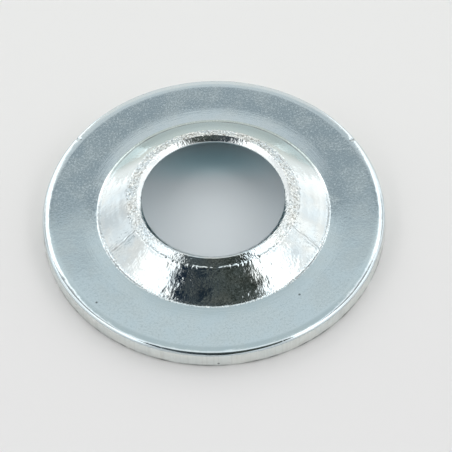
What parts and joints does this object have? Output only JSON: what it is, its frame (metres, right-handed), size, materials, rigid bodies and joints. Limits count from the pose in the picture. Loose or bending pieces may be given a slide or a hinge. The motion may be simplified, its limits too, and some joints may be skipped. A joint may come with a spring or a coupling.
{
  "type": "belleville washer",
  "caption": "Round steel washer with a flat flange and a hollow bell drawn up round its bolt hole.",
  "frame": {"origin": "centre of the flange's underside, on the axis of the bolt hole", "axes": "+Z along the axis of the bolt hole, from the underside towards the top of the bell"},
  "size_m": [0.025, 0.025, 0.0036],
  "materials": {
    "zinc_steel": "bright zinc plating with a faint blue tint over pressed steel sheet"
  },
  "bodies": {
    "root": {"washer": "zinc_steel"}
  },
  "joints": []
}
